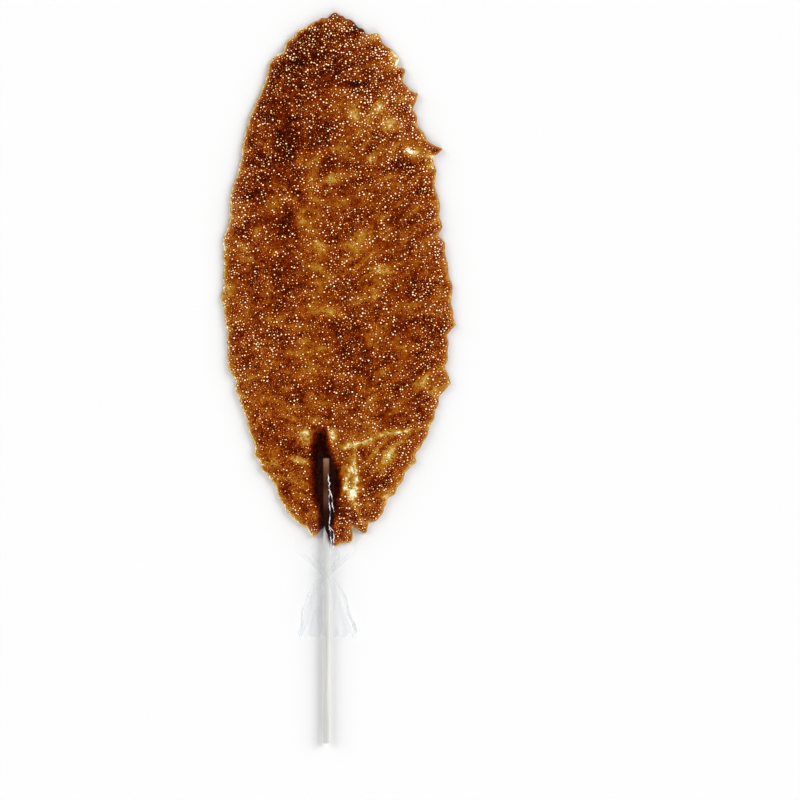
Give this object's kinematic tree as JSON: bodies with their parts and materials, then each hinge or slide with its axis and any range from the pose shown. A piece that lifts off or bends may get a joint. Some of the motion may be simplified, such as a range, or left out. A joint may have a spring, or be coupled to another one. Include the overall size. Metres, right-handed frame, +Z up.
{
  "type": "lollipop",
  "caption": "Giant flat leaf-shaped lollipop of amber hard candy with a ragged rim, on a slim white stick, with clear film gathered round the stick.",
  "frame": {"origin": "bottom centre of the whole lollipop's box, lying on the candy's flat back", "axes": "+X to the right across the shown face, +Y along the stick towards the candy's tip, +Z up out of the shown face"},
  "size_m": [0.1318, 0.4104, 0.0103],
  "materials": {
    "amber_candy": "amber hard candy, glossy, full of small air bubbles, stands in as gloss plastic",
    "white_stick": "smooth white",
    "clear_film": "thin clear film"
  },
  "bodies": {
    "root": {"candy": "amber_candy", "stick": "white_stick", "film": "clear_film"}
  },
  "joints": []
}
